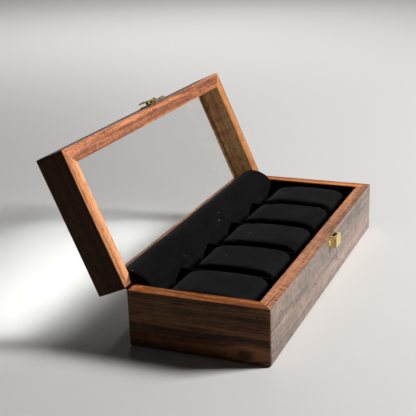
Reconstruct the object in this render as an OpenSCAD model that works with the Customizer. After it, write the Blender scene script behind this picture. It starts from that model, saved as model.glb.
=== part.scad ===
/* [Box] */
// Outside length of the box
box_l = 320; // [260:1:400]
// Outside width of the box, without the latch
box_w = 118; // [112:1:140]
// Height of the base, up to its rim
base_h = 47.5; // [44:0.5:60]
// Thickness of the base boards
base_t = 12; // [10:0.5:14]
// Thickness of the bottom panel
bottom_t = 4; // [3:0.5:5]
// Radius of the upright outside corners
corner_r = 2; // [1:0.25:3]
// Radius of the outside edge along the bottom
bottom_r = 2.5; // [1:0.25:3]

/* [Lid] */
// Height of the lid rails
lid_h = 26; // [24:0.5:34]
// Thickness of the front and side lid rails
lid_t = 13.5; // [12:0.5:14]
// Thickness of the back lid rail
lid_back_t = 8.5; // [8:0.5:12]
// Gap between the two rims when the lid is shut
rim_gap = 0.3; // [0.2:0.05:0.5]
// Angle that the lid is open at rest, from shut
open_angle = 113.5; // [100:0.5:115]
// Thickness of the glass pane
glass_t = 2.5; // [2:0.25:3]
// Height of the glass pane's inner face above the lid's rim
glass_z = 20.8; // [19:0.1:21]
// How far the glass pane goes into the groove of each rail
glass_in = 3; // [2:0.25:4]

/* [Interior] */
// Number of compartments
places = 5; // [5:1:5]
// Thickness of the lining on the floor
floor_lining_t = 1.5; // [1:0.25:2]
// Thickness of the lining on the walls
wall_lining_t = 1.2; // [1:0.1:2]
// How far the wall lining stops below the rim
lining_drop = 0.8; // [0.5:0.1:3]
// Thickness of a divider
divider_t = 2.6; // [2:0.1:4]
// Height of a divider's top edge above the ground
divider_top = 41; // [30:0.5:43]
// Width of a cushion along the box
cushion_w = 51; // [40:0.5:52]
// Height of a cushion's crown above the ground
cushion_top = 46.3; // [42:0.1:47]
// Thickness of the padded hinge lining on the base's back wall
cover_t = 3.1; // [2:0.1:4]
// Thickness of the hinge lining on the lid's back rail
cover_lid_t = 1.1; // [0.8:0.1:1.5]

/* [Hinges] */
// Distance of each hinge's middle from the box's middle
hinge_x = 100; // [60:1:110]
// Length of a hinge
hinge_l = 30; // [24:1:40]
// Distance of the hinge axis behind the back face
hinge_out = 0.4; // [0.3:0.1:1]
// Outside radius of a hinge knuckle
knuckle_r = 2; // [1.8:0.1:2.4]
// Radius of a hinge pin
pin_r = 1; // [0.8:0.1:1.2]
// Thickness of a hinge leaf
leaf_t = 1; // [0.8:0.1:1.2]

/* [Latch] */
// Position of the latch's middle along the box
latch_x = 9.5; // [-20:0.5:20]
// Width of the latch plate on the lid
latch_w = 16; // [15:0.5:20]
// Width of the lever's tongue
tongue_w = 9; // [8:0.5:9]
// Depth of the catch box in front of the board
catch_d = 6.4; // [6.2:0.1:8]
// Width of the catch box
catch_w = 14; // [13.5:0.5:16]

/* [Hidden] */
$fn = 48;
e = 0.01;
hl = box_l / 2;
hw = box_w / 2;
in_x = hl - base_t;
in_y = hw - base_t;
floor_z = bottom_t + floor_lining_t;
axis_y = hw + hinge_out;
axis_z = base_h + rim_gap / 2;
lid_z = base_h + rim_gap;
lid_top = lid_z + lid_h;
pitch = (2 * in_x) / places;
cushion_y0 = -39;
cushion_y1 = 41;
cover_y = in_y - cover_t;
// Latch, in the shut lid's frame: p is the distance in front of the front face
lever_p = 3.0;
lever_z = lid_z + 4;
lever_bore = 0.85;

// Corner-to-corner block
module block(a, b) {
    translate(a) cube([b[0] - a[0], b[1] - a[1], b[2] - a[2]]);
}

// Flat outline of a rectangle with round corners, centred in x and y
module round_rect(x, y, r) {
    square([x - 2 * r, y], center = true);
    square([x, y - 2 * r], center = true);
    for (i = [-1, 1]) for (j = [-1, 1])
        translate([i * (x / 2 - r), j * (y / 2 - r)]) circle(r = r);
}

// A round bar along X
module bar_x(r, x0, x1) {
    translate([x0, 0, 0]) rotate([0, 90, 0]) cylinder(r = r, h = x1 - x0);
}

// Puts a piece drawn in the shut lid's place where the open lid is
module lid_place() {
    translate([0, axis_y, axis_z]) rotate([-open_angle, 0, 0]) translate([0, -axis_y, -axis_z])
        children();
}

// Mitre prisms: one side of the box each, from z0 to z1
module mitre_front(t, z0, z1) {
    translate([0, 0, z0]) linear_extrude(z1 - z0)
        polygon([[-hl - 1, -hw - 1], [hl + 1, -hw - 1], [hl - t, -hw + t], [-hl + t, -hw + t]]);
}
module mitre_side(s, t0, t1, z0, z1) {
    translate([0, 0, z0]) linear_extrude(z1 - z0)
        polygon(s > 0
            ? [[hl + 1, -hw - 1], [hl + 1, hw + t1 / t0], [hl - t0, hw - t1], [hl - t0, -hw + t0]]
            : [[-hl - 1, -hw - 1], [-hl + t0, -hw + t0], [-hl + t0, hw - t1], [-hl - 1, hw + t1 / t0]]);
}
module mitre_back(t0, t1, z0, z1) {
    translate([0, 0, z0]) linear_extrude(z1 - z0)
        polygon([[-hl - 1, hw + t1 / t0], [-hl + t0, hw - t1], [hl - t0, hw - t1], [hl + 1, hw + t1 / t0]]);
}

// ---------- Base ----------
module base_outer() {
    intersection() {
        linear_extrude(base_h) round_rect(box_l, box_w, corner_r);
        translate([-hl - 1, 0, base_h]) rotate([90, 0, 90]) linear_extrude(box_l + 2)
            round_rect(box_w, 2 * base_h, bottom_r);
        translate([0, hw + 1, base_h]) rotate([90, 0, 0]) linear_extrude(box_w + 2)
            round_rect(box_l, 2 * base_h, bottom_r);
    }
}

module base_shell() {
    difference() {
        base_outer();
        block([-in_x, -in_y, -1], [in_x, in_y, base_h + 1]);
        block([-in_x - 6, -in_y - 6, -1], [in_x + 6, in_y + 6, bottom_t]);
    }
}

module hinge_cut(z0, z1) {
    for (s = [-1, 1]) {
        block([s * hinge_x - hinge_l / 2 - 0.2, hw - 7, z0], [s * hinge_x + hinge_l / 2 + 0.2, hw + 1, z1]);
        translate([0, axis_y, axis_z])
            bar_x(knuckle_r + 0.3, s * hinge_x - hinge_l / 2 - 0.7, s * hinge_x + hinge_l / 2 + 0.7);
    }
}

module hinge_screw_spots() {
    for (s = [-1, 1]) for (k = [-1, 1])
        translate([s * hinge_x + k * (hinge_l / 2 - 6), hw - 4.3, 0]) children();
}

module catch_screw_spots() {
    for (k = [-1, 1]) translate([latch_x + k * (catch_w / 2 + 2.4), -hw, base_h - 6]) children();
}

module base_front_board() {
    color("#9a7664") difference() {
        intersection() {
            base_shell();
            mitre_front(base_t, -1, base_h + 1);
        }
        catch_screw_spots() rotate([-90, 0, 0]) translate([0, 0, -1]) cylinder(r = 0.9, h = 9, $fn = 24);
    }
}

module base_back_board() {
    color("#6e4a38") difference() {
        intersection() {
            base_shell();
            mitre_back(base_t, base_t, -1, base_h + 1);
        }
        hinge_cut(base_h - leaf_t, base_h + 1);
        // rebate that the folded lining lies in when the lid is shut
        block([-in_x, in_y - 1, base_h - 2.5], [in_x, in_y + 4.5, base_h + 1]);
        hinge_screw_spots() translate([0, 0, base_h - 9]) cylinder(r = 0.95, h = 10, $fn = 24);
    }
}

module base_left_board() {
    color("#5b3a2c") intersection() {
        base_shell();
        mitre_side(-1, base_t, base_t, -1, base_h + 1);
    }
}

module base_right_board() {
    color("#5b3a2c") intersection() {
        base_shell();
        mitre_side(1, base_t, base_t, -1, base_h + 1);
    }
}

module base_bottom_panel() {
    color("#3a2a22") block([-in_x - 6, -in_y - 6, 0], [in_x + 6, in_y + 6, bottom_t]);
}

// ---------- Linings and dividers ----------
module floor_lining() {
    color("#151515") block([-in_x, -in_y, bottom_t], [in_x, in_y, floor_z]);
}

module front_lining() {
    color("#151515") block([-in_x, -in_y, floor_z], [in_x, -in_y + wall_lining_t, base_h - lining_drop]);
}

module side_lining(s) {
    x0 = s > 0 ? in_x - wall_lining_t : -in_x;
    color("#151515") block([x0, -in_y + wall_lining_t, floor_z], [x0 + wall_lining_t, in_y, base_h - lining_drop]);
}
module left_lining() { side_lining(-1); }
module right_lining() { side_lining(1); }

module divider(i) {
    x = (i - places / 2) * pitch;
    color("#1c1c1c")
        block([x - divider_t / 2, -in_y + wall_lining_t, floor_z], [x + divider_t / 2, cover_y - 0.2, divider_top]);
}
module divider_1() { divider(1); }
module divider_2() { divider(2); }
module divider_3() { divider(3); }
module divider_4() { divider(4); }

// ---------- Cushions ----------
// Side outline of a cushion: [y, z] of round corners with their radii
module cushion_outline() {
    top = cushion_top;
    hull() {
        translate([cushion_y0 + 4, floor_z + 4.05]) circle(r = 4, $fn = 32);
        translate([cushion_y1 - 4, floor_z + 4.05]) circle(r = 4, $fn = 32);
        translate([cushion_y0 + 12.5, top - 13.6]) circle(r = 12.5, $fn = 32);
        translate([-8, top - 12]) circle(r = 12, $fn = 32);
        translate([9, top - 12.6]) circle(r = 12, $fn = 32);
        translate([cushion_y1 - 18, top - 20]) circle(r = 18, $fn = 32);
    }
}

module cushion(i) {
    x = (i - (places + 1) / 2) * pitch;
    color("#1a1a1a")
        translate([x - cushion_w / 2, 0, 0]) rotate([90, 0, 90]) linear_extrude(cushion_w) cushion_outline();
}
module cushion_1() { cushion(1); }
module cushion_2() { cushion(2); }
module cushion_3() { cushion(3); }
module cushion_4() { cushion(4); }
module cushion_5() { cushion(5); }

// ---------- Hinge lining ----------
// A point of the shut lid, as [y, z], where the open lid has it
function opened(y, z) =
    let (c = cos(open_angle), s = sin(open_angle), dy = y - axis_y, dz = z - axis_z)
    [axis_y + dy * c + dz * s, axis_z - dy * s + dz * c];

module hinge_lining() {
    back = hw - lid_back_t;
    far = lid_z + glass_z - 1.5;
    lid_near = opened(back - cover_lid_t, lid_z + 0.5);
    lid_far = opened(back - cover_lid_t, far);
    lid_far_back = opened(back - 0.3, far);
    lid_near_back = opened(back - 0.3, lid_z + 0.2);
    color("#121212") translate([-in_x + wall_lining_t + 0.3, 0, 0]) rotate([90, 0, 90])
        linear_extrude(2 * (in_x - wall_lining_t) - 0.6)
            polygon([
                [cover_y, floor_z], [cover_y, base_h - 3.5], [cover_y + 1.0, base_h + 0.3],
                [cover_y + 3.6, base_h + 2.7], [cover_y + 8.2, base_h + 5.6], [cover_y + 13.4, base_h + 7.9],
                [lid_near[0] - 3.2, lid_near[1] + 0.05], lid_near, lid_far, lid_far_back, lid_near_back,
                [lid_near_back[0] - 3.0, lid_near_back[1] - 0.6],
                [cover_y + 13.4, base_h + 5.6], [cover_y + 8.2, base_h + 3.2], [cover_y + 4.4, base_h + 0.9],
                [in_y - 0.2, base_h - 1.6], [in_y, base_h - 4], [in_y, floor_z]
            ]);
}

// ---------- Lid ----------
// Drawn shut: rails with round outside edges, a groove for the glass
module lid_outer() {
    intersection() {
        translate([0, 0, lid_z]) linear_extrude(lid_h) round_rect(box_l, box_w, corner_r);
        translate([-hl - 1, 0, lid_top - 30]) rotate([90, 0, 90]) linear_extrude(box_l + 2)
            round_rect(box_w, 60, 1.8);
        translate([0, hw + 1, lid_top - 30]) rotate([90, 0, 0]) linear_extrude(box_w + 2)
            round_rect(box_l, 60, 1.8);
    }
}

module lid_shell() {
    difference() {
        lid_outer();
        block([-hl + lid_t, -hw + lid_t, lid_z - 1], [hl - lid_t, hw - lid_back_t, lid_top + 1]);
        block([-hl + lid_t - glass_in, -hw + lid_t - glass_in, lid_z + glass_z],
              [hl - lid_t + glass_in, hw - lid_back_t + glass_in, lid_z + glass_z + glass_t]);
    }
}

module latch_screw_spots() {
    for (k = [-1, 1]) translate([latch_x + k * 6.1, -hw, lid_z + 11]) children();
}

module lid_front_rail() {
    color("#b5795a") lid_place() difference() {
        intersection() {
            lid_shell();
            mitre_front(lid_t, lid_z - 1, lid_top + 1);
        }
        latch_screw_spots() rotate([-90, 0, 0]) translate([0, 0, -1]) cylinder(r = 0.8, h = 8, $fn = 24);
    }
}

module lid_back_rail() {
    color("#b5795a") lid_place() difference() {
        intersection() {
            lid_shell();
            mitre_back(lid_t, lid_back_t, lid_z - 1, lid_top + 1);
        }
        hinge_cut(lid_z - 1, lid_z + leaf_t);
        hinge_screw_spots() translate([0, 0, lid_z - 1]) cylinder(r = 0.95, h = 10, $fn = 24);
    }
}

module lid_left_rail() {
    color("#4a3128") lid_place() intersection() {
        lid_shell();
        mitre_side(-1, lid_t, lid_back_t, lid_z - 1, lid_top + 1);
    }
}

module lid_right_rail() {
    color("#a9805a") lid_place() intersection() {
        lid_shell();
        mitre_side(1, lid_t, lid_back_t, lid_z - 1, lid_top + 1);
    }
}

module glass_pane() {
    color("#dfe8ea", 0.3) lid_place()
        block([-hl + lid_t - glass_in, -hw + lid_t - glass_in, lid_z + glass_z],
              [hl - lid_t + glass_in, hw - lid_back_t + glass_in, lid_z + glass_z + glass_t]);
}

// ---------- Hinges ----------
// One leaf: a plate let into a rim, with knuckles k0, k0 + 2, ... of five
module leaf(s, z0, k0) {
    seg = hinge_l / 5;
    plate_y = axis_y - knuckle_r - 0.3;
    difference() {
        union() {
            block([s * hinge_x - hinge_l / 2, hw - 7, z0], [s * hinge_x + hinge_l / 2, plate_y, z0 + leaf_t]);
            for (k = [k0:2:4]) {
                x0 = s * hinge_x - hinge_l / 2 + k * seg + 0.1;
                block([x0, plate_y - 1, z0], [x0 + seg - 0.2, axis_y - 0.2, z0 + leaf_t]);
                translate([0, axis_y, axis_z]) bar_x(knuckle_r, x0, x0 + seg - 0.2);
            }
        }
        translate([0, axis_y, axis_z]) bar_x(pin_r + 0.05, s * hinge_x - hinge_l, s * hinge_x + hinge_l);
        children();
    }
}

module base_leaf(s) {
    color("#c9a24a") leaf(s, base_h - leaf_t, 0)
        hinge_screw_spots() translate([0, 0, base_h - leaf_t - e]) cylinder(r1 = 0.95, r2 = 1.9, h = leaf_t + 2 * e, $fn = 32);
}
module lid_leaf(s) {
    color("#c9a24a") lid_place() leaf(s, lid_z, 1)
        hinge_screw_spots() translate([0, 0, lid_z - e]) cylinder(r1 = 1.9, r2 = 0.95, h = leaf_t + 2 * e, $fn = 32);
}
module hinge_base_leaf_left() { base_leaf(-1); }
module hinge_base_leaf_right() { base_leaf(1); }
module hinge_lid_leaf_left() { lid_leaf(-1); }
module hinge_lid_leaf_right() { lid_leaf(1); }

module hinge_pins() {
    color("#b8913e") for (s = [-1, 1])
        translate([0, axis_y, axis_z]) bar_x(pin_r, s * hinge_x - hinge_l / 2 - 0.4, s * hinge_x + hinge_l / 2 + 0.4);
}

module hinge_base_screws() {
    color("#c9a24a") hinge_screw_spots() {
        translate([0, 0, base_h - leaf_t]) cylinder(r1 = 0.93, r2 = 1.84, h = leaf_t - 0.05, $fn = 32);
        translate([0, 0, base_h - 8.5]) cylinder(r = 0.93, h = 8.5 - leaf_t, $fn = 24);
    }
}

module hinge_lid_screws() {
    color("#c9a24a") lid_place() hinge_screw_spots() {
        translate([0, 0, lid_z + 0.05]) cylinder(r1 = 1.84, r2 = 0.93, h = leaf_t - 0.05, $fn = 32);
        translate([0, 0, lid_z + leaf_t]) cylinder(r = 0.93, h = 7.5, $fn = 24);
    }
}

// ---------- Latch on the lid ----------
// Places a piece at p in front of the front face, z up, in the shut lid's frame
module at_lever() { translate([0, -hw - lever_p, lever_z]) children(); }

module latch_plate() {
    x0 = latch_x - latch_w / 2;
    x1 = latch_x + latch_w / 2;
    color("#d4ad4e") lid_place() difference() {
        union() {
            block([x0, -hw - 1.2, lid_z + 1.2], [x1, -hw, lid_z + 13]);
            // rounded shoulders
            for (k = [-1, 1])
                translate([latch_x + k * (latch_w / 2 - 2), -hw, lid_z + 13]) rotate([90, 0, 0]) cylinder(r = 2, h = 1.2);
            block([x0 + 2, -hw - 1.2, lid_z + 12], [x1 - 2, -hw, lid_z + 15]);
            for (x = [x0, x1 - 1.8]) {
                at_lever() bar_x(2, x, x + 1.8);
                block([x, -hw - lever_p, lever_z - 2], [x + 1.8, -hw - 1, lever_z + 2]);
            }
        }
        at_lever() bar_x(lever_bore, x0 - 1, x1 + 1);
        latch_screw_spots() rotate([90, 0, 0]) cylinder(r = 0.8, h = 3, $fn = 24);
        latch_screw_spots() rotate([90, 0, 0]) translate([0, 0, 0.6]) cylinder(r1 = 0.8, r2 = 1.5, h = 0.61, $fn = 32);
    }
}

module latch_lever() {
    w = latch_w - 2 * 1.8 - 0.6;
    x0 = latch_x - w / 2;
    x1 = latch_x + w / 2;
    t0 = latch_x - tongue_w / 2;
    t1 = latch_x + tongue_w / 2;
    color("#dcb657") lid_place() difference() {
        union() {
            at_lever() bar_x(1.55, x0, x1);
            // thumb tab, with a rolled end
            block([latch_x - 4.2, -hw - 4.9, lever_z], [latch_x + 4.2, -hw - 3.7, lid_z + 14]);
            translate([0, -hw - 4.6, lid_z + 14]) bar_x(0.9, latch_x - 4.2, latch_x + 4.2);
            // tongue, with a hook on its outer side
            block([t0, -hw - 2.8, lid_z - 8.6], [t1, -hw - 1.8, lever_z]);
            translate([0, -hw - 2.3, lid_z - 8.6]) bar_x(0.5, t0, t1);
            block([t0, -hw - 3.6, lid_z - 7.8], [t1, -hw - 2.5, lid_z - 6.6]);
        }
        at_lever() bar_x(lever_bore, x0 - 1, x1 + 1);
    }
}

module latch_pin() {
    color("#b8913e") lid_place() at_lever() {
        bar_x(0.8, latch_x - latch_w / 2 - 0.5, latch_x + latch_w / 2 + 0.5);
        for (s = [-1, 1]) bar_x(1.25, latch_x + s * (latch_w / 2 + 0.35) - 0.3, latch_x + s * (latch_w / 2 + 0.35) + 0.3);
    }
}

module latch_screws() {
    color("#c9a24a") lid_place() latch_screw_spots() rotate([90, 0, 0]) {
        translate([0, 0, -6.5]) cylinder(r = 0.78, h = 7.1, $fn = 24);
        translate([0, 0, 0.6]) cylinder(r1 = 0.78, r2 = 1.45, h = 0.6, $fn = 32);
        translate([0, 0, 1.2]) cylinder(r1 = 1.45, r2 = 0.9, h = 0.3, $fn = 32);
    }
}

// ---------- Catch on the base ----------
module at_catch_pin() { translate([0, -hw - 4.75, lid_z - 5.5]) children(); }

module catch_box() {
    x0 = latch_x - catch_w / 2;
    x1 = latch_x + catch_w / 2;
    z0 = base_h - 11;
    z1 = base_h - 1;
    y0 = -hw - catch_d;
    wall = 0.9;
    color("#d4ad4e") difference() {
        union() {
            block([x0, y0, z0], [x1, -hw, z1]);
            // ears for the screws
            block([x0 - 2.4, -hw - wall, z0 + 1.6], [x1 + 2.4, -hw, z1 - 1.6]);
            catch_screw_spots() rotate([90, 0, 0]) cylinder(r = 2.4, h = wall);
        }
        // inside
        block([x0 + wall, y0 + wall, z0 + wall], [x1 - wall, -hw - 0.8, z1 - wall]);
        // slot in the top, for the tongue
        block([latch_x - tongue_w / 2 - 0.5, -hw - 4.3, z1 - wall - 1], [latch_x + tongue_w / 2 + 0.5, -hw - 1.2, z1 + 1]);
        at_catch_pin() bar_x(0.62, x0 - 1, x1 + 1);
        catch_screw_spots() rotate([90, 0, 0]) translate([0, 0, -e]) cylinder(r1 = 0.9, r2 = 1.6, h = wall + 2 * e, $fn = 32);
    }
}

module catch_pin() {
    x0 = latch_x - catch_w / 2;
    x1 = latch_x + catch_w / 2;
    color("#b8913e") at_catch_pin() {
        bar_x(0.6, x0 - 0.3, x1 + 0.3);
        bar_x(1.1, x0 - 0.6, x0 - 0.05);
        bar_x(1.1, x1 + 0.05, x1 + 0.6);
    }
}

module catch_screws() {
    color("#c9a24a") catch_screw_spots() rotate([90, 0, 0]) {
        translate([0, 0, -7.5]) cylinder(r = 0.88, h = 7.5, $fn = 24);
        cylinder(r1 = 0.88, r2 = 1.56, h = 0.9, $fn = 32);
        translate([0, 0, 0.9]) cylinder(r1 = 1.56, r2 = 1.0, h = 0.35, $fn = 32);
    }
}

base_front_board();
base_back_board();
base_left_board();
base_right_board();
base_bottom_panel();
floor_lining();
front_lining();
left_lining();
right_lining();
divider_1();
divider_2();
divider_3();
divider_4();
cushion_1();
cushion_2();
cushion_3();
cushion_4();
cushion_5();
hinge_lining();
lid_front_rail();
lid_back_rail();
lid_left_rail();
lid_right_rail();
glass_pane();
hinge_base_leaf_left();
hinge_base_leaf_right();
hinge_lid_leaf_left();
hinge_lid_leaf_right();
hinge_pins();
hinge_base_screws();
hinge_lid_screws();
latch_plate();
latch_lever();
latch_pin();
latch_screws();
catch_box();
catch_pin();
catch_screws();
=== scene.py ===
"""Looks of a five-place organizer box: rosewood boards, a glazed lid, velvet linings and cushions, brass fittings."""

import math

import bmesh
import bpy
import numpy as np
from mathutils import Matrix, Vector, noise


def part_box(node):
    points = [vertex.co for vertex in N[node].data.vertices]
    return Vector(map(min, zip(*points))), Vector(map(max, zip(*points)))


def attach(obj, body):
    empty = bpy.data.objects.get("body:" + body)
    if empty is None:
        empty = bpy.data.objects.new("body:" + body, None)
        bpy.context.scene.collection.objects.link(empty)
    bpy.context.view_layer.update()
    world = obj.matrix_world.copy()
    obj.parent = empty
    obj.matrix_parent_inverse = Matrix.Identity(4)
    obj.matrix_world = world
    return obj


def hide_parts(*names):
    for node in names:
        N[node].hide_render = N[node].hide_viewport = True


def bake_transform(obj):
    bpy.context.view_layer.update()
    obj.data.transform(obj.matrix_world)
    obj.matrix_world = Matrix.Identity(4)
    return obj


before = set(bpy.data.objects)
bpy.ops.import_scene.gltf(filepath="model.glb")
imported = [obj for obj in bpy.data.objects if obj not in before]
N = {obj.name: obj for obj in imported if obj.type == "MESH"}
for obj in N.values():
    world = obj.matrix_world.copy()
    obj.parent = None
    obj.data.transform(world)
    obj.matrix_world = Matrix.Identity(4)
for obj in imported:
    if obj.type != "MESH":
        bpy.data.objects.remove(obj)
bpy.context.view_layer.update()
scene = bpy.context.scene
scene.view_settings.view_transform = "Standard"
scene.view_settings.look = "None"

OPEN = math.radians(113.5)
AXIS = Vector((0, 0.0594, 0.04765))
MM = 0.001


def opened(y, z):
    """A point of the shut lid, given as y and z, where the open lid has it."""
    c, s = math.cos(OPEN), math.sin(OPEN)
    dy, dz = y - AXIS.y, z - AXIS.z
    return AXIS.y + dy * c + dz * s, AXIS.z - dy * s + dz * c


# ---------------------------------------------------------------- camera
RIGHT = Vector((0.3765819, -0.9257927, -0.0330742))
DOWN = Vector((-0.3086716, -0.091735, -0.9467347))
AHEAD = Vector((0.873446, 0.3667322, -0.3203116))
EYE = Vector((-0.75835, -0.26354, 0.34109))
camera = bpy.data.objects.new("camera", bpy.data.cameras.new("camera"))
scene.collection.objects.link(camera)
m = Matrix.Identity(4)
for i, col in enumerate((RIGHT, -DOWN, -AHEAD, EYE)):
    for r in range(3):
        m[r][i] = col[r]
camera.matrix_world = m
camera.data.sensor_width = 36
camera.data.lens = 948.4 / 416 * 36
camera.data.clip_start, camera.data.clip_end = 0.01, 50
scene.camera = camera


# ---------------------------------------------------------------- shader helper
class Graph:
    """A material's node tree, with a short call for each kind of node used here."""

    def __init__(self, name):
        self.mat = bpy.data.materials.new(name)
        self.mat.use_nodes = True
        self.nt = self.mat.node_tree
        self.nt.nodes.clear()
        self.out = self.nt.nodes.new("ShaderNodeOutputMaterial")

    def put(self, socket, value):
        if isinstance(value, bpy.types.NodeSocket):
            self.nt.links.new(value, socket)
        elif value is not None:
            socket.default_value = value

    def node(self, kind, **props):
        n = self.nt.nodes.new("ShaderNode" + kind)
        for k, v in props.items():
            setattr(n, k, v)
        return n

    def math(self, op, a, b=None, c=None, clamp=False):
        n = self.node("Math", operation=op, use_clamp=clamp)
        self.put(n.inputs[0], a)
        self.put(n.inputs[1], b)
        if c is not None:
            self.put(n.inputs[2], c)
        return n.outputs[0]

    def vmath(self, op, a, b):
        n = self.node("VectorMath", operation=op)
        self.put(n.inputs[0], a)
        self.put(n.inputs[1], b)
        return n.outputs[0]

    def scaled(self, v, s, loc=(0, 0, 0)):
        n = self.node("Mapping")
        self.put(n.inputs["Vector"], v)
        n.inputs["Scale"].default_value = s if hasattr(s, "__len__") else (s, s, s)
        n.inputs["Location"].default_value = loc
        return n.outputs[0]

    def noise(self, v, scale, detail=2, rough=0.5, distortion=0.0, loc=(0, 0, 0), out=0):
        n = self.node("TexNoise")
        self.put(n.inputs["Vector"], self.scaled(v, scale, loc))
        n.inputs["Scale"].default_value = 1.0
        n.inputs["Detail"].default_value = detail
        n.inputs["Roughness"].default_value = rough
        n.inputs["Distortion"].default_value = distortion
        return n.outputs[out]

    def range(self, v, a, b, c=0.0, d=1.0, smooth=True):
        n = self.node("MapRange", interpolation_type="SMOOTHSTEP" if smooth else "LINEAR")
        self.put(n.inputs[0], v)
        for i, x in enumerate((a, b, c, d)):
            self.put(n.inputs[1 + i], x)
        return n.outputs[0]

    def mix(self, f, a, b, blend="MIX"):
        n = self.node("Mix", data_type="RGBA", blend_type=blend)
        self.put(n.inputs[0], f)
        self.put(n.inputs[6], a if isinstance(a, bpy.types.NodeSocket) else (*a, 1))
        self.put(n.inputs[7], b if isinstance(b, bpy.types.NodeSocket) else (*b, 1))
        return n.outputs[2]

    def grey(self, v):
        n = self.node("CombineColor")
        for i in range(3):
            self.put(n.inputs[i], v)
        return n.outputs[0]

    def ramp(self, f, stops):
        n = self.node("ValToRGB")
        self.put(n.inputs[0], f)
        e = n.color_ramp.elements
        while len(e) < len(stops):
            e.new(0.5)
        for x, (p, c) in zip(e, stops):
            x.position = p
            x.color = (*c, 1)
        return n.outputs[0]

    def bump(self, height, strength, distance):
        n = self.node("Bump")
        n.inputs["Strength"].default_value = strength
        n.inputs["Distance"].default_value = distance
        self.put(n.inputs["Height"], height)
        return n.outputs[0]

    def principled(self, **values):
        n = self.node("BsdfPrincipled")
        for k, v in values.items():
            self.put(n.inputs[k.replace("_", " ")], v)
        self.nt.links.new(n.outputs[0], self.out.inputs[0])
        return n


def tones(dark, light):
    """Five stops from a dark tone to a light one, with a warmer middle."""
    d, l = np.array(dark), np.array(light)
    mid = d + (l - d) * np.array((0.52, 0.47, 0.42))
    return [
        (0.0, tuple(d * 0.55)),
        (0.28, tuple(d)),
        (0.52, tuple(mid)),
        (0.8, tuple(l)),
        (1.0, tuple(np.minimum(l * 1.18, 1))),
    ]


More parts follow.
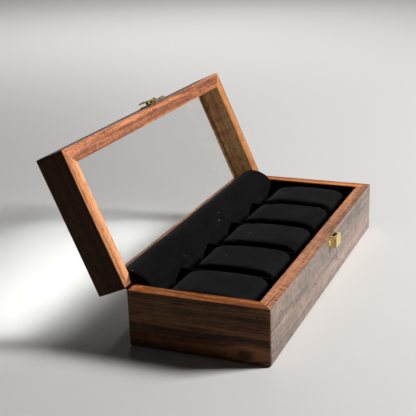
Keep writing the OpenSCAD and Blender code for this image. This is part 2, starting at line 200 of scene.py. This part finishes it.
# ---------------------------------------------------------------- wood
def wood(
    name,
    grain,
    lid,
    seed,
    rim,
    outer,
    inner,
    outer_rough=0.36,
    rim_rough=0.5,
    knot=None,
    curl=0.0,
    coat=0.12,
    streaks=1.0,
    spec=0.3,
    lift=0.0,
    ripple=0.3,
):
    """One board's wood. The grain runs along grain, X or Y. Its outside, its rim and its inside each take their own
    pair of tones. The outside is stained darker than the rim, and on some boards its tone is painted sheen or painted
    shade; the rim tones are partly painted light.
    """
    g = Graph(name)
    p = g.node("TexCoord").outputs["Object"]
    if lid:
        turn = g.node("VectorRotate", rotation_type="X_AXIS")
        turn.inputs["Center"].default_value = AXIS
        turn.inputs["Angle"].default_value = OPEN
        g.put(turn.inputs["Vector"], p)
        p = turn.outputs[0]
    s = g.node("SeparateXYZ")
    g.put(s.inputs[0], p)
    x, y, z = s.outputs
    along, across = (x, y) if grain == "X" else (y, x)

    up = z
    knot_spot = None
    if knot:
        ky, kz, kr = knot
        dy = g.math("DIVIDE", g.math("SUBTRACT", y, ky), 1.5)
        dz = g.math("SUBTRACT", z, kz)
        r = g.math(
            "SQRT",
            g.math("ADD", g.math("MULTIPLY", dy, dy), g.math("MULTIPLY", dz, dz)),
        )
        knot_spot = g.range(r, kr * 1.15, kr * 0.55)
        push = g.range(r, kr * 3.2, kr * 0.4)
        sign = g.range(dz, -0.003, 0.003, -1, 1)
        up = g.math("ADD", z, g.math("MULTIPLY", g.math("MULTIPLY", push, sign), -kr * 0.9))

    c = g.node("CombineXYZ")
    g.put(c.inputs[0], along)
    g.put(c.inputs[1], across)
    g.put(c.inputs[2], up)
    q = g.scaled(c.outputs[0], 1.0, (seed * 0.713, seed * 0.271, seed * 0.137))

    warp = g.noise(q, (7, 26, 26), 2, 0.5, out=1)
    w = g.vmath("SUBTRACT", warp, (0.5, 0.5, 0.5))
    w = g.vmath("MULTIPLY", w, (0.0, 0.010, 0.010))
    q2 = g.vmath("ADD", q, w)

    rings = g.noise(q2, (3.0, 88, 88), 2, 0.55)
    fibres = g.noise(q2, (9, 430, 430), 4, 0.6)
    broad = g.noise(q2, (2.2, 26, 26), 1, 0.5, loc=(3.1, 1.7, 0.4))
    figure = g.noise(q, (64, 24, 24), 2, 0.5, 1.2, loc=(1.3, 4.1, 2.2))
    bars = g.noise(q2, (330, 105, 105), 2, 0.6, 0.5, loc=(5.3, 0.1, 3.2))
    tone = g.math("MULTIPLY", rings, 0.50)
    tone = g.math("ADD", tone, g.math("MULTIPLY", fibres, 0.50))
    tone = g.math("ADD", tone, g.math("MULTIPLY", broad, 0.12))
    tone = g.math("ADD", tone, g.math("MULTIPLY", g.math("SUBTRACT", bars, 0.5), ripple))
    if curl:
        tone = g.math("ADD", tone, g.math("MULTIPLY", g.math("SUBTRACT", figure, 0.5), curl))
    tone = g.range(tone, 0.40 - 0.32 * lift, 0.72 - 0.32 * lift, 0.0, 1.0, smooth=False)
    streak = g.noise(q2, (2.0, 60, 60), 2, 0.5, loc=(7.7, 2.9, 5.1))
    streak = g.range(streak, 0.55, 0.68)
    tone = g.math("SUBTRACT", tone, g.math("MULTIPLY", streak, 0.34 * streaks), clamp=True)

    pores = g.noise(q2, (190, 1150, 1150), 1, 0.5)
    pores = g.range(pores, 0.58, 0.67)
    long_pores = g.noise(q2, (70, 760, 760), 1, 0.5, loc=(0.9, 0.3, 0.8))
    long_pores = g.range(long_pores, 0.60, 0.69)
    pores = g.math("MAXIMUM", pores, g.math("MULTIPLY", long_pores, 0.8))

    # Where on the board: outside faces, rim, or inside
    def past(value, edge, width=0.0007):
        return g.range(value, edge - width, edge)

    ax, ay = g.math("ABSOLUTE", x), g.math("ABSOLUTE", y)
    outside = g.math("MAXIMUM", past(ax, 0.1598), past(ay, 0.0588))
    if lid:
        outside = g.math("MAXIMUM", outside, past(z, 0.0736))
        on_rim = g.range(z, 0.0485, 0.0479)
    else:
        outside = g.math("MAXIMUM", outside, g.range(z, 0.0008, 0.0002))
        on_rim = g.range(z, 0.0469, 0.0474)
    ragged = g.range(g.noise(q, (300, 300, 300), 2), 0.3, 0.7, 0.97, 1.0)
    outside = g.math("MULTIPLY", outside, ragged)

    col = g.mix(on_rim, g.ramp(tone, tones(*inner)), g.ramp(tone, tones(*rim)))
    col = g.mix(outside, col, g.ramp(tone, tones(*outer)))
    hue = g.noise(q, (5, 24, 24), 2, 0.5, loc=(2.2, 8.1, 0.6))
    col = g.mix(g.range(hue, 0.35, 0.7, 0.0, 0.3), col, g.mix(1.0, col, (1.16, 0.93, 0.74), "MULTIPLY"))
    col = g.mix(g.math("MULTIPLY", pores, 0.72), col, g.mix(1.0, col, (0.30, 0.24, 0.21), "MULTIPLY"))
    if knot_spot is not None:
        col = g.mix(g.math("MULTIPLY", knot_spot, 0.85), col, g.mix(1.0, col, (0.22, 0.20, 0.20), "MULTIPLY"))

    smear = g.noise(p, (38, 38, 38), 3, 0.6, 0.4)
    rough = g.range(outside, 0, 1, rim_rough, outer_rough, smooth=False)
    rough = g.math("ADD", rough, g.range(smear, 0.35, 0.7, -0.04, 0.08))
    rough = g.math("ADD", rough, g.math("MULTIPLY", pores, 0.16), clamp=True)
    height = g.math("SUBTRACT", g.math("MULTIPLY", fibres, 0.35), g.math("MULTIPLY", pores, 0.8))
    g.principled(
        Base_Color=col,
        Roughness=rough,
        IOR=1.5,
        Specular_IOR_Level=spec,
        Coat_Weight=coat,
        Coat_Roughness=0.28,
        Normal=g.bump(height, 0.35, 0.00022),
    )
    return g.mat


# ---------------------------------------------------------------- velvet, brass, glass, panel
def velvet(name, seed, low=0.0016, high=0.0085, lint=1.0, sheen=0.03):
    g = Graph(name)
    p = g.scaled(g.node("TexCoord").outputs["Object"], 1.0, (seed * 0.31, seed * 0.17, seed * 0.23))
    nap = g.noise(p, 2400, 2, 0.6)
    brushed = g.noise(p, (34, 26, 40), 4, 0.62, 0.6)
    patch = g.noise(p, (13, 13, 17), 2, 0.5, 0.3, loc=(1.1, 0.2, 0.7))
    level = g.math("ADD", g.math("MULTIPLY", brushed, 0.55), g.math("MULTIPLY", patch, 0.45))
    level = g.range(level, 0.38, 0.64, low, high)
    level = g.math("MULTIPLY", level, g.range(nap, 0.3, 0.7, 0.6, 1.4, smooth=False))
    col = g.mix(1.0, g.grey(level), (1.0, 0.985, 0.975), "MULTIPLY")
    # Lint: small specks, and a few short hairs
    v = g.node("TexVoronoi", feature="F1")
    g.put(v.inputs["Vector"], g.vmath("ADD", p, g.vmath("MULTIPLY", g.noise(p, 700, 1, out=1), (0.0012, 0.0012, 0.0012))))
    v.inputs["Scale"].default_value = 190
    sep = g.node("SeparateColor")
    g.put(sep.inputs[0], v.outputs["Color"])
    few = g.math("GREATER_THAN", sep.outputs[0], 0.945)
    speck = g.math("MULTIPLY", few, g.range(v.outputs["Distance"], 0.14, 0.06))
    w = g.node("TexVoronoi", feature="F1")
    g.put(w.inputs["Vector"], g.scaled(p, (1.0, 1.0, 1.0), (0.7, 0.2, 0.5)))
    w.inputs["Scale"].default_value = 420
    sep3 = g.node("SeparateColor")
    g.put(sep3.inputs[0], w.outputs["Color"])
    dots = g.math("MULTIPLY", g.math("GREATER_THAN", sep3.outputs[2], 0.93), g.range(w.outputs["Distance"], 0.22, 0.10))
    speck = g.math("MAXIMUM", speck, g.math("MULTIPLY", dots, 0.22))
    hair = g.node("TexVoronoi", feature="F1")
    g.put(hair.inputs["Vector"], g.scaled(p, (1.0, 0.16, 0.5), (0.3, 0.9, 0.1)))
    hair.inputs["Scale"].default_value = 150
    sep2 = g.node("SeparateColor")
    g.put(sep2.inputs[0], hair.outputs["Color"])
    few2 = g.math("GREATER_THAN", sep2.outputs[1], 0.985)
    hairs = g.math("MULTIPLY", few2, g.range(hair.outputs["Distance"], 0.07, 0.03))
    dust = g.math("MULTIPLY", g.math("MAXIMUM", speck, g.math("MULTIPLY", hairs, 0.5)), 0.8 * lint)
    col = g.mix(dust, col, (0.30, 0.295, 0.28))
    g.principled(
        Base_Color=col,
        Roughness=g.range(brushed, 0.35, 0.65, 0.82, 0.98),
        Specular_IOR_Level=0.07,
        Sheen_Weight=sheen,
        Sheen_Roughness=0.42,
        Sheen_Tint=(0.92, 0.93, 1.0, 1),
        Normal=g.bump(nap, 0.35, 0.00025),
    )
    return g.mat


def brass(name, seed, bright=(0.96, 0.77, 0.33), dull=(0.66, 0.46, 0.15), rough=0.2):
    g = Graph(name)
    p = g.scaled(g.node("TexCoord").outputs["Object"], 1.0, (seed, seed * 0.7, seed * 0.3))
    tarnish = g.noise(p, 260, 4, 0.6, 0.5)
    fine = g.noise(p, (4200, 500, 900), 2, 0.5)
    wear = g.noise(p, 900, 2, 0.5)
    col = g.mix(g.range(tarnish, 0.46, 0.70), bright, dull)
    col = g.mix(g.range(wear, 0.55, 0.75, 0.0, 0.35), col, (0.93, 0.74, 0.36))
    r = g.math("ADD", g.range(tarnish, 0.4, 0.7, rough, rough + 0.2), g.range(fine, 0.4, 0.7, -0.03, 0.08))
    g.principled(
        Base_Color=col,
        Metallic=1.0,
        Roughness=r,
        Normal=g.bump(fine, 0.16, 0.00008),
    )
    return g.mat


def glass(name):
    g = Graph(name)
    p = g.node("TexCoord").outputs["Object"]
    film = g.noise(p, (9, 14, 14), 3, 0.6, 0.5)
    n = g.node("BsdfPrincipled")
    g.put(n.inputs["Base Color"], g.mix(g.range(film, 0.4, 0.7), (0.985, 0.992, 0.988), (0.965, 0.975, 0.972)))
    g.put(n.inputs["Roughness"], g.range(film, 0.45, 0.75, 0.0, 0.03))
    n.inputs["IOR"].default_value = 1.47
    n.inputs["Transmission Weight"].default_value = 1.0
    clear = g.node("BsdfTransparent")
    clear.inputs[0].default_value = (0.94, 0.95, 0.95, 1)
    mix = g.node("MixShader")
    g.put(mix.inputs[0], g.node("LightPath").outputs["Is Shadow Ray"])
    g.put(mix.inputs[1], n.outputs[0])
    g.put(mix.inputs[2], clear.outputs[0])
    g.put(g.out.inputs[0], mix.outputs[0])
    return g.mat


def stage_paint(name):
    g = Graph(name)
    p = g.node("TexCoord").outputs["Object"]
    soft = g.noise(p, 1.3, 2)
    g.principled(
        Base_Color=g.mix(soft, (0.80, 0.80, 0.80), (0.83, 0.825, 0.815)),
        Roughness=0.42,
        Specular_IOR_Level=0.35,
    )
    return g.mat


# Rim tones: the rims are cut end grain, lighter and more orange than the stained outside, and partly painted light on
# top of that; the board-to-board differences (the far rim and the lid's left rim lighter, the lid's right rim darker)
# are painted light and shade.
RIM = ((0.26, 0.078, 0.018), (0.80, 0.278, 0.076))
RIM_LONG = ((0.25, 0.086, 0.034), (0.74, 0.310, 0.140))
RIM_FAR_PAINTED_LIGHT = ((0.34, 0.112, 0.036), (0.95, 0.37, 0.120))
RIM_LID = ((0.235, 0.078, 0.031), (0.60, 0.222, 0.096))
RIM_LID_LEFT_PAINTED_LIGHT = ((0.30, 0.126, 0.054), (0.74, 0.335, 0.160))
RIM_LID_RIGHT_PAINTED_SHADE = ((0.21, 0.070, 0.014), (0.52, 0.195, 0.044))
DARK = ((0.062, 0.028, 0.012), (0.200, 0.088, 0.034))
# Painted light: the inside of the lid's back rail is the same wood as the other insides, lightened here for the light
# that falls on it.
LIP_PAINTED_LIGHT = ((0.40, 0.17, 0.07), (0.95, 0.50, 0.25))
# Painted sheen: the front faces' outside has the same dark stain as the other sides, painted pale here for their lit,
# glossy look.
FRONT_PAINTED_SHEEN = ((0.150, 0.106, 0.084), (0.320, 0.226, 0.182))
# Painted shade: the lid's outside has the base's stain, darkened here to near black for its shaded side.
LID_OUTSIDE_PAINTED_SHADE = ((0.029, 0.0148, 0.0086), (0.047, 0.0250, 0.0148))
INSIDE = ((0.090, 0.044, 0.018), (0.30, 0.165, 0.075))
# Painted light: the inside of the lid's right rail is figured wood, lightened here to full brightness for the light
# that falls on it.
FIGURED_PAINTED_LIGHT = ((0.52, 0.185, 0.056), (1.0, 0.56, 0.22))

W = {
    "base_front_board": wood("rosewood_base_front", "X", False, 1.0, RIM_LONG, FRONT_PAINTED_SHEEN, INSIDE, outer_rough=0.4, coat=0.3, spec=0.5, ripple=0.34, streaks=0.3),
    "base_back_board": wood("rosewood_base_back", "X", False, 2.3, RIM_LONG, DARK, INSIDE),
    "base_left_board": wood("rosewood_base_left", "Y", False, 3.1, RIM, DARK, INSIDE, knot=(-0.0385, 0.0075, 0.0045), curl=0.10, coat=0.0, spec=0.12, streaks=0.4, ripple=0.07),
    "base_right_board": wood("rosewood_base_right", "Y", False, 4.7, RIM_FAR_PAINTED_LIGHT, DARK, INSIDE, curl=0.1, ripple=0.1, coat=0.0, spec=0.05),
    "lid_front_rail": wood("rosewood_lid_front", "X", True, 5.2, RIM_LID, FRONT_PAINTED_SHEEN, INSIDE, curl=0.12, lift=0.1, streaks=0.6, ripple=0.18),
    "lid_back_rail": wood("rosewood_lid_back", "X", True, 6.9, RIM_LID, LID_OUTSIDE_PAINTED_SHADE, LIP_PAINTED_LIGHT),
    "lid_left_rail": wood("rosewood_lid_left", "Y", True, 7.4, RIM_LID_LEFT_PAINTED_LIGHT, LID_OUTSIDE_PAINTED_SHADE, INSIDE, coat=0.0, spec=0.05, lift=0.35, ripple=0.08),
    "lid_right_rail": wood("rosewood_lid_right", "Y", True, 8.8, RIM_LID_RIGHT_PAINTED_SHADE, LID_OUTSIDE_PAINTED_SHADE, FIGURED_PAINTED_LIGHT, curl=0.30, lift=0.2, streaks=0.5, ripple=0.1, spec=0.4),
    "base_bottom_panel": wood("rosewood_bottom", "X", False, 9.6, DARK, DARK, DARK, outer_rough=0.6, coat=0.0),
}
BRASS = brass("brass_polished", 0.4)
BRASS_DARK = brass("brass_aged", 1.7, (0.70, 0.47, 0.15), (0.34, 0.21, 0.07), 0.3)
GLASS = glass("float_glass")
LINING = velvet("lining_velvet", 0.3)
DIVIDER = velvet("divider_velvet", 1.9, lint=0.6)


def dress(name, material, bevel=0.0005, segments=2):
    """A CAD node with its finished material, its sharp edges eased by a modifier."""
    o = N[name]
    o.data.materials.clear()
    o.data.materials.append(material)
    o.modifiers.new("weld", "WELD").merge_threshold = 1e-6
    b = o.modifiers.new("eased_edges", "BEVEL")
    b.width = bevel
    b.segments = segments
    b.limit_method = "ANGLE"
    b.angle_limit = math.radians(38)
    b.use_clamp_overlap = True
    n = o.modifiers.new("normals", "WEIGHTED_NORMAL")
    n.keep_sharp = False
    n.weight = 80


for k, mat in W.items():
    dress(k, mat, 0.00055, 3)
dress("glass_pane", GLASS, 0.0003, 1)
for k in ("hinge_base_leaf_left", "hinge_base_leaf_right", "hinge_lid_leaf_left", "hinge_lid_leaf_right"):
    dress(k, BRASS, 0.00012)
dress("latch_plate", BRASS, 0.00025, 3)
dress("latch_lever", BRASS, 0.00028, 3)
dress("catch_box", BRASS, 0.0004, 3)
for k in ("hinge_pins", "latch_pin", "catch_pin"):
    dress(k, BRASS_DARK, 0.00015)
for k in ("hinge_base_screws", "hinge_lid_screws", "latch_screws", "catch_screws"):
    dress(k, BRASS_DARK, 0.0001)


# ---------------------------------------------------------------- soft boards
def add_mesh(name, verts, faces, material, smooth=True):
    me = bpy.data.meshes.new(name)
    me.from_pydata([tuple(v) for v in verts], [], faces)
    bm = bmesh.new()
    bm.from_mesh(me)
    bmesh.ops.remove_doubles(bm, verts=bm.verts, dist=1e-7)
    bmesh.ops.recalc_face_normals(bm, faces=bm.faces)
    bm.to_mesh(me)
    bm.free()
    for p in me.polygons:
        p.use_smooth = smooth
    me.materials.append(material)
    o = bpy.data.objects.new(name, me)
    scene.collection.objects.link(o)
    return o


def ticks(lo, hi, r, step):
    n = max(2, int(round((hi - lo - 2 * r) / step)) + 1)
    inner = list(np.linspace(lo + r, hi - r, n))
    return [lo, lo + 0.29 * r] + inner + [hi - 0.29 * r, hi]


def soft_board(name, lo, hi, r, step, material, amp=0.00012, freq=90, seed=0.0, rounds=None):
    """A board wrapped in velvet: round edges, and a face that isn't quite flat."""
    lo, hi = np.array(lo, float), np.array(hi, float)
    r = min(r, 0.49 * float((hi - lo).min()))
    t = [ticks(lo[i], hi[i], r, step) for i in range(3)]
    verts, faces = [], []
    for axis in range(3):
        a, b = [i for i in range(3) if i != axis]
        for side in (0, -1):
            start = len(verts)
            for u in t[a]:
                for v in t[b]:
                    p = np.zeros(3)
                    p[axis], p[a], p[b] = t[axis][side], u, v
                    verts.append(p)
            nb = len(t[b])
            for i in range(len(t[a]) - 1):
                for j in range(nb - 1):
                    k = start + i * nb + j
                    faces.append((k, k + 1, k + nb + 1, k + nb))
    out = []
    for p in verts:
        q = np.clip(p, lo + r, hi - r)
        d = p - q
        n = np.linalg.norm(d)
        d = d / n if n > 1e-12 else d
        wob = noise.noise(Vector(p * freq) + Vector((seed, seed * 2, -seed)))
        wob += 0.5 * noise.noise(Vector(p * freq * 2.7) + Vector((seed * 3, seed, seed)))
        out.append(q + d * (r - amp + amp * wob))
    return add_mesh(name, out, faces, material)


def stand_in(node, name, material, r, step, body="base", seed=0.0, amp=0.00012, grow=(0, 0, 0)):
    lo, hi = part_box(node)
    lo, hi = np.array(lo), np.array(hi) + np.array(grow)
    o = soft_board(name, lo, hi, r, step, material, amp=amp, seed=seed)
    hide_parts(node)
    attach(o, body)
    return o


stand_in("floor_lining", "floor_velvet", LINING, 0.0006, 0.006, seed=1.0)
stand_in("front_lining", "front_velvet", LINING, 0.00055, 0.004, seed=2.0)
stand_in("left_lining", "left_velvet", LINING, 0.00055, 0.004, seed=3.0)
stand_in("right_lining", "right_velvet", LINING, 0.00055, 0.004, seed=4.0)
for i in range(1, 5):
    stand_in(f"divider_{i}", f"divider_board_{i}", DIVIDER, 0.0012, 0.003, seed=5.0 + i, amp=0.0002, grow=(0, 0.0021, 0))


# ---------------------------------------------------------------- cushions
def relaxed(o, pressure, frames, cap, seed):
    """Blows the cover up a little as cloth, and keeps every point within cap of where it began."""
    me = o.data
    start = np.zeros(len(me.vertices) * 3)
    me.vertices.foreach_get("co", start)
    start = start.reshape(-1, 3)
    cloth = o.modifiers.new("cloth", "CLOTH")
    c = cloth.settings
    c.quality = 6
    c.mass = 0.25
    c.use_pressure = True
    c.uniform_pressure_force = pressure
    c.tension_stiffness = c.compression_stiffness = 20
    c.shear_stiffness = 8
    c.bending_stiffness = 0.6
    c.effector_weights.gravity = 0
    cloth.collision_settings.use_collision = False
    cloth.point_cache.frame_start, cloth.point_cache.frame_end = 1, frames
    scene.frame_start, scene.frame_end = 1, frames
    for f in range(1, frames + 1):
        scene.frame_set(f)
    e = o.evaluated_get(bpy.context.evaluated_depsgraph_get())
    done = e.to_mesh()
    end = np.zeros(len(done.vertices) * 3)
    done.vertices.foreach_get("co", end)
    end = end.reshape(-1, 3)
    e.to_mesh_clear()
    o.modifiers.remove(cloth)
    scene.frame_set(1)
    move = end - start
    far = np.linalg.norm(move, axis=1, keepdims=True)
    return start, start + move * np.minimum(1, cap / np.maximum(far, 1e-9))


def applied(o):
    dg = bpy.context.evaluated_depsgraph_get()
    me = bpy.data.meshes.new_from_object(o.evaluated_get(dg))
    old = o.data
    o.modifiers.clear()
    o.data = me
    bpy.data.meshes.remove(old)
    return o


FLOOR_Z = 0.0055


def cushion(i):
    node = f"cushion_{i}"
    lo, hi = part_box(node)
    mid = (lo + hi) / 2
    me = N[node].data.copy()
    me.materials.clear()
    o = bpy.data.objects.new(f"cushion_cover_{i}", me)
    scene.collection.objects.link(o)
    size = hi - lo
    shrink = Vector((1 - 0.0022 / size.x, 1 - 0.0016 / size.y, 1 - 0.0014 / size.z))
    for v in me.vertices:
        v.co = mid + Vector(((v.co.x - mid.x) * shrink.x, (v.co.y - mid.y) * shrink.y, (v.co.z - mid.z) * shrink.z))
    r = o.modifiers.new("remesh", "REMESH")
    r.mode = "VOXEL"
    r.voxel_size = 0.0026
    sm = o.modifiers.new("smooth", "SMOOTH")
    sm.factor, sm.iterations = 0.5, 2
    applied(o)
    _, co = relaxed(o, 3.0, 14, 0.0024, i)
    # Each cover sits a little differently
    rnd = Vector((i * 3.7, i * 1.3, i * 2.1))
    out = []
    for p in co:
        v = Vector(p)
        n1 = noise.noise(v * 42 + rnd)
        n2 = noise.noise(v * 120 + rnd * 2)
        d = Vector((p[0] - mid.x, (p[1] - mid.y) * 0.6, p[2] - mid.z * 0.8))
        d.normalize()
        v += d * (0.00045 * n1 + 0.00016 * n2)
        v.z = max(v.z, FLOOR_Z + 0.0001)
        v.z = min(v.z, 0.0471)
        out.append(v)
    o.data.vertices.foreach_set("co", np.array(out, float).ravel())
    sub = o.modifiers.new("sub", "SUBSURF")
    sub.levels = sub.render_levels = 1
    applied(o)
    for p in o.data.polygons:
        p.use_smooth = True
    o.data.materials.clear()
    o.data.materials.append(velvet(f"cushion_velvet_{i}", 2.0 + i, 0.0014, 0.0085, lint=1.0, sheen=0.03))
    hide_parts(node)
    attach(o, node)
    return o


for i in range(1, 6):
    cushion(i)


# ---------------------------------------------------------------- hinge lining
def smooth_path(points, n):
    """n points evenly along a Catmull-Rom curve through the given ones."""
    p = [np.array(q, float) for q in points]
    p = [2 * p[0] - p[1]] + p + [2 * p[-1] - p[-2]]
    dense = []
    for a, b, c, d in zip(p, p[1:], p[2:], p[3:]):
        for t in np.linspace(0, 1, 24, endpoint=False):
            dense.append(
                0.5 * ((2 * b) + (c - a) * t + (2 * a - 5 * b + 4 * c - d) * t * t + (3 * b - a - 3 * c + d) * t**3)
            )
    dense.append(p[-2])
    dense = np.array(dense)
    s = np.r_[0, np.cumsum(np.linalg.norm(np.diff(dense, axis=0), axis=1))]
    want = np.linspace(0, s[-1], n)
    return np.stack([np.interp(want, s, dense[:, k]) for k in (0, 1)], 1)


lid_in = 0.0505
end_front = opened(lid_in - 0.0005, 0.0632)
end_back = opened(lid_in - 0.00015, 0.0632)
# The padded front: up the back wall, over both rims in one arch, down the inside of the lid's rail
FRONT_PATH = [
    (0.0461, 0.0056), (0.0461, 0.018), (0.0460, 0.028), (0.0453, 0.0345), (0.0438, 0.0395),
    (0.0433, 0.0440), (0.0440, 0.0477), (0.0470, 0.0514), (0.0520, 0.0547), (0.0577, 0.0567),
    (0.0637, 0.0573), (0.0692, 0.0559), (0.0733, 0.0534), end_front,
]
# The glued side, which lies on the wall, the two rims and the rail
BACK_PATH = [
    (0.0469, 0.0056), (0.0469, 0.018), (0.0469, 0.028), (0.0469, 0.0345), (0.0469, 0.0400),
    (0.04695, 0.0450), (0.0475, 0.0475), (0.0505, 0.0477), (0.0560, 0.0477), (0.0587, 0.0480),
    (0.0601, 0.0496), (0.0618, 0.0535), (0.0630, 0.0560), (0.0655, 0.0549), (0.0710, 0.0525), end_back,
]


def hinge_cover():
    ns, nx = 84, 92
    f, b = smooth_path(FRONT_PATH, ns), smooth_path(BACK_PATH, ns)
    x0, x1 = -0.1463, 0.1463
    xs = [x0, x0 + 0.0003, x0 + 0.001] + list(np.linspace(x0 + 0.0025, x1 - 0.0025, nx)) + [x1 - 0.001, x1 - 0.0003, x1]
    verts = []
    loops = []
    for x in xs:
        end = min(x - x0, x1 - x)
        k = min(1.0, end / 0.0022)
        tuck = (1 - math.sqrt(max(0.0, 1 - (1 - k) ** 2))) * 0.0016  # round at both ends
        ring = []
        for j in range(ns):
            t = j / (ns - 1)
            gap = f[j] - b[j]
            thick = max(np.linalg.norm(gap), 1e-9)
            n = gap / thick
            v = Vector((x * 24, t * 4.4, 0.3))
            w = 0.00050 * noise.noise(v) + 0.00022 * noise.noise(v * 3.1)
            edge = min(1.0, min(j, ns - 1 - j) / 2.0)
            full = thick * (0.45 + 0.55 * edge) + w * min(1.0, end / 0.006) * edge * min(1.0, thick / 0.0012)
            full = max(full - tuck, 0.25 * thick)
            ring.append((x, *(b[j] + n * full)))
        for j in reversed(range(ns)):
            ring.append((x, *b[j]))
        loops.append((len(verts), len(ring)))
        verts += ring
    faces = []
    for (a, n), (c, _) in zip(loops, loops[1:]):
        for j in range(n):
            faces.append((a + j, a + (j + 1) % n, c + (j + 1) % n, c + j))
    for start, n in (loops[0], loops[-1]):
        for j in range(ns - 1):
            faces.append((start + j, start + j + 1, start + n - 2 - j, start + n - 1 - j))
    # Both ends of the lining run out between the rims
    low = [(0.0578, 0.04762), (0.0589, 0.04762), (0.05975, 0.0483), (0.06015, 0.0492)]
    top = [(0.0578, 0.04795), (0.05872, 0.04800), (0.05938, 0.0486), (0.05975, 0.0494)]
    for a, c in ((-0.1592, -0.1458), (0.1458, 0.1592)):
        start = len(verts)
        for x in (a, c):
            verts += [(x, *q) for q in low] + [(x, *q) for q in reversed(top)]
        faces += [(start + j, start + (j + 1) % 8, start + 8 + (j + 1) % 8, start + 8 + j) for j in range(8)]
        for k in (0, 8):
            faces += [(start + k + j, start + k + j + 1, start + k + 6 - j, start + k + 7 - j) for j in range(3)]
    o = add_mesh("hinge_velvet", verts, faces, velvet("hinge_velvet", 9.0, 0.0014, 0.0050, lint=1.0, sheen=0.022))
    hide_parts("hinge_lining")
    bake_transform(o)
    return o


hinge_cover()


# ---------------------------------------------------------------- stage and lights
floor = bpy.data.objects.new("floor", bpy.data.meshes.new("floor"))
scene.collection.objects.link(floor)
S = 9.0
floor.data.from_pydata([(-S, -S, 0), (S, -S, 0), (S, S, 0), (-S, S, 0)], [], [(0, 1, 2, 3)])
floor.location.z = -0.00005
floor.data.materials.append(stage_paint("pale_floor"))

world = bpy.data.worlds.new("studio")
scene.world = world
world.use_nodes = True
bg = world.node_tree.nodes.get("Background") or world.node_tree.nodes.new("ShaderNodeBackground")
bg.inputs[0].default_value = (0.80, 0.81, 0.83, 1)
bg.inputs[1].default_value = 0.024


def area(name, place, aim, size, power, colour):
    light = bpy.data.lights.new(name, "AREA")
    light.shape = "RECTANGLE"
    light.size, light.size_y = size
    light.energy = power
    light.color = colour
    o = bpy.data.objects.new(name, light)
    scene.collection.objects.link(o)
    o.location = place
    o.rotation_euler = (Vector(aim) - Vector(place)).to_track_quat("-Z", "Y").to_euler()
    return o


area("key", (0.59, -1.45, 1.09), (0.0, 0.0, 0.05), (0.5, 0.5), 51, (1.0, 0.985, 0.965))
area("backdrop", (1.3, 0.85, 1.3), (2.2, 1.10, 0.3), (1.3, 1.3), 18, (1.0, 0.985, 0.97))
area("card", (1.84, 0.71, 0.74), (0.0, -0.06, 0.05), (0.7, 0.45), 1.3, (1.0, 0.98, 0.95))
